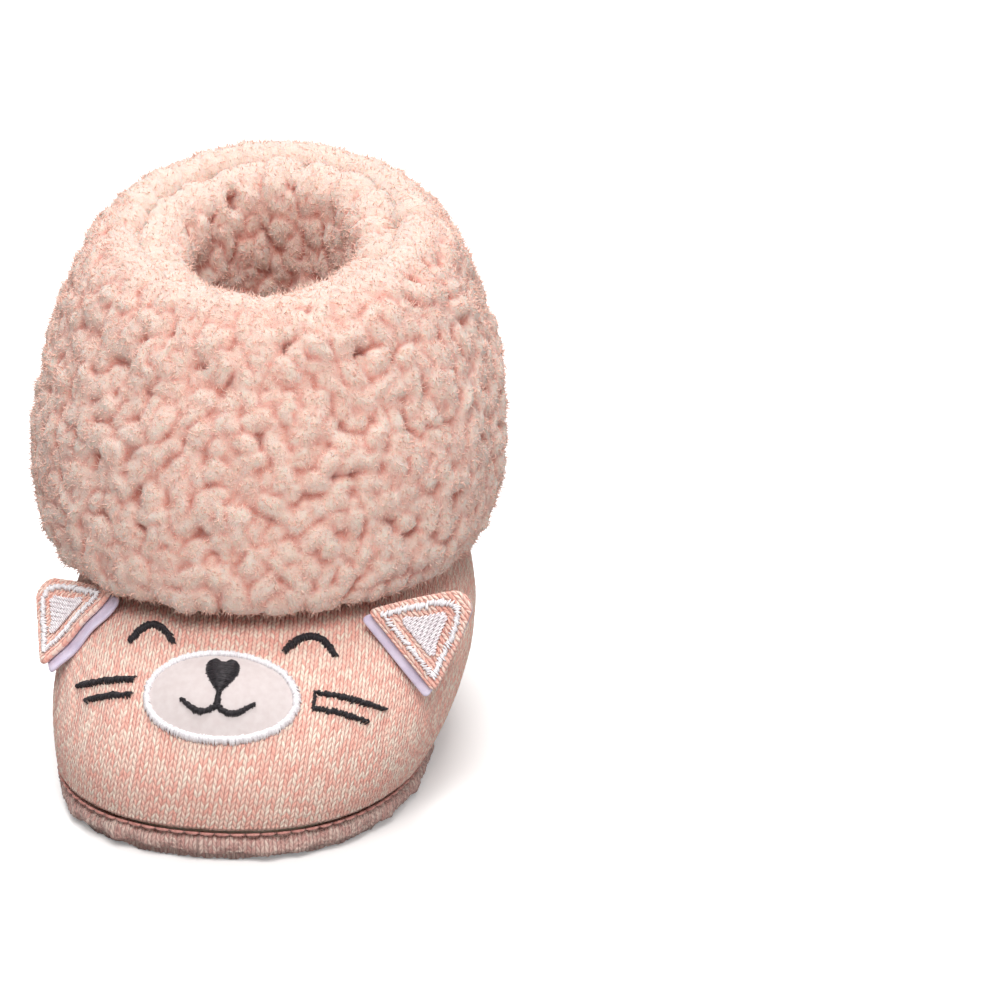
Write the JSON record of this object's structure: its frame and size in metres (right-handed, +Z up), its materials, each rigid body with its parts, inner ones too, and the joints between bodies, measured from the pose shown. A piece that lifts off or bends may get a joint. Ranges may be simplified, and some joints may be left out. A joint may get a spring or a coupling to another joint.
{
  "type": "baby bootie",
  "caption": "Soft knitted baby bootie with a deep turned-down sherpa cuff, an embroidered kitten face on the toe, two stand-up ears and grip dots under a padded sole.",
  "frame": {"origin": "bottom centre of the bounding box, on the surface that the sole rests on", "axes": "+Z up, toe towards -Y, heel towards +Y, +X to the right as seen from the toe"},
  "size_m": [0.0759, 0.1019, 0.0915],
  "materials": {
    "sherpa": "curly sherpa pile, matt with a soft sheen",
    "marled_knit": "stockinette knit in marled peach, rose and white yarn",
    "sole_knit": "the same knit, worn slightly greyer underneath",
    "seam_thread": "overlock thread",
    "fleece_lining": "short brushed fleece",
    "foam": "open-cell foam sheet",
    "elastic": "woven elastic tape",
    "grip_rubber": "soft printed grip dots",
    "muzzle_fabric": "smooth off-white woven fabric",
    "white_thread": "white satin-stitch embroidery",
    "silver_thread": "pale silver-white filled embroidery",
    "black_thread": "black satin-stitch embroidery",
    "lilac_felt": "thin smooth lilac felt"
  },
  "bodies": {
    "shoe": {"ankle_elastic": "elastic", "back_panel_knit": "marled_knit", "back_panel_lining": "fleece_lining", "cuff_base_roll": "sherpa", "cuff_hanging_fold": "sherpa", "cuff_standing_wall": "sherpa", "eye_left_thread": "black_thread", "eye_right_thread": "black_thread", "grip_dot_01": "grip_rubber", "grip_dot_02": "grip_rubber", "grip_dot_03": "grip_rubber", "grip_dot_04": "grip_rubber", "grip_dot_05": "grip_rubber", "grip_dot_06": "grip_rubber", "grip_dot_07": "grip_rubber", "grip_dot_08": "grip_rubber", "grip_dot_09": "grip_rubber", "grip_dot_10": "grip_rubber", "grip_dot_11": "grip_rubber", "grip_dot_12": "grip_rubber", "grip_dot_13": "grip_rubber", "grip_dot_14": "grip_rubber", "grip_dot_15": "grip_rubber", "grip_dot_16": "grip_rubber", "grip_dot_17": "grip_rubber", "grip_dot_18": "grip_rubber", "grip_dot_19": "grip_rubber", "grip_dot_20": "grip_rubber", "grip_dot_21": "grip_rubber", "insole_fleece": "fleece_lining", "mouth_thread": "black_thread", "muzzle_border_thread": "white_thread", "muzzle_patch": "muzzle_fabric", "nose_thread": "black_thread", "outsole_knit": "sole_knit", "sole_foam": "foam", "sole_seam_thread": "seam_thread", "vamp_knit": "marled_knit", "vamp_lining": "fleece_lining", "whisker_left_lower_thread": "black_thread", "whisker_left_upper_thread": "black_thread", "whisker_right_lower_thread": "black_thread", "whisker_right_upper_thread": "black_thread"},
    "ear_left": {"ear_left_base_thread": "white_thread", "ear_left_edge_thread": "white_thread", "ear_left_felt": "lilac_felt", "ear_left_inner_patch": "silver_thread", "ear_left_knit": "marled_knit"},
    "ear_right": {"ear_right_base_thread": "white_thread", "ear_right_edge_thread": "white_thread", "ear_right_felt": "lilac_felt", "ear_right_inner_patch": "silver_thread", "ear_right_knit": "marled_knit"}
  },
  "joints": [
    {"name": "ear_left_fold", "type": "hinge", "parent": "shoe", "child": "ear_left", "pos_m": [-0.0221, -0.02842, 0.0271], "axis": [0.6305, 0.2891, 0.7203], "range_deg": [-3, 80], "stiffness_Nm_per_rad": 0.0004},
    {"name": "ear_right_fold", "type": "hinge", "parent": "shoe", "child": "ear_right", "pos_m": [0.02651, -0.02861, 0.02745], "axis": [0.6851, -0.2668, -0.6778], "range_deg": [-35, 50], "stiffness_Nm_per_rad": 0.0004}
  ]
}
